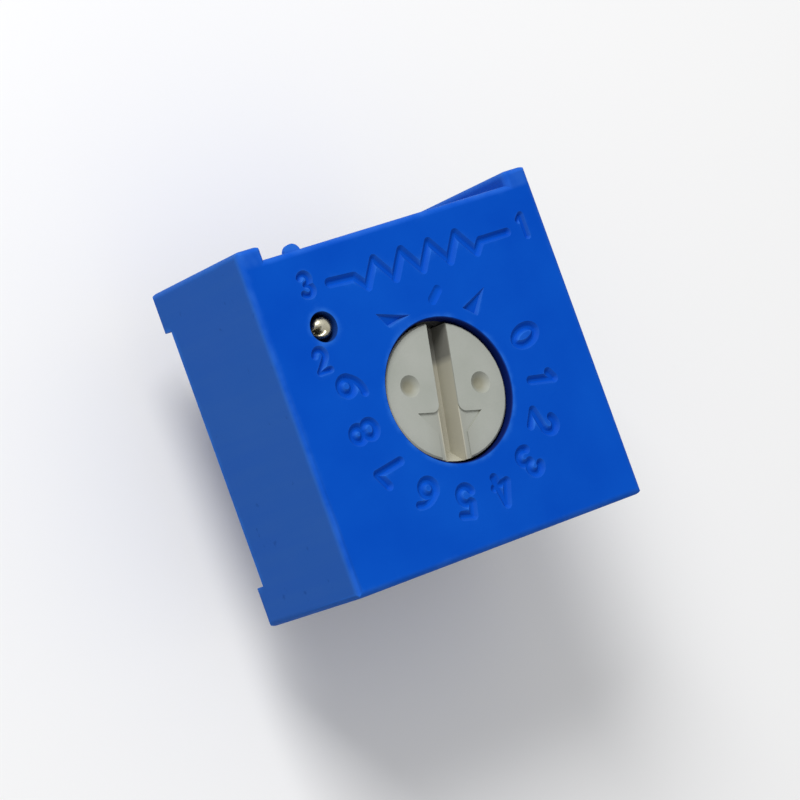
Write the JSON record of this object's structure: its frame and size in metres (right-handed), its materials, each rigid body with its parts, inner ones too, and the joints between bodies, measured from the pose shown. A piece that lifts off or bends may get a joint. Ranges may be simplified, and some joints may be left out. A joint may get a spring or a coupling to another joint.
{
  "type": "trimmer potentiometer",
  "caption": "Square single-turn trimmer potentiometer with a slotted rotor in its top face, corner feet and round solder leads.",
  "frame": {"origin": "where the rotor's axis, which is also lead 2's, meets the seat plane under the back feet", "axes": "+Z leaves the slotted face along the rotor's axis; +Y points to the side wall with the two long feet"},
  "size_m": [0.0096, 0.0094, 0.0073],
  "materials": {
    "blue_moulding": "satin moulded thermoset",
    "cream_moulding": "satin moulded plastic",
    "seal_rubber": "matt",
    "contact_metal": "bright spring sheet",
    "alumina": "fired, matt",
    "resistive_film": "fired cermet film",
    "conductor_film": "fired silver film",
    "tinned_wire": "tinned",
    "solder": "bright solder",
    "sealing_resin": "cured resin"
  },
  "bodies": {
    "case": {"housing": "blue_moulding", "rotor_seal": "seal_rubber", "element_base": "alumina", "resistive_track": "resistive_film", "collector_track": "conductor_film", "end_pad_1": "conductor_film", "end_pad_3": "conductor_film", "lead_1": "tinned_wire", "lead_2": "tinned_wire", "lead_3": "tinned_wire", "solder_1": "solder", "solder_2": "solder", "solder_3": "solder", "back_seal": "sealing_resin"},
    "turning_rotor": {"rotor": "cream_moulding", "wiper_contact": "contact_metal"}
  },
  "joints": [
    {"name": "rotor_turn", "type": "hinge", "parent": "case", "child": "turning_rotor", "pos_m": [0, 0, 0], "axis": [0, 0, 1], "range_deg": [-142, 168]}
  ]
}
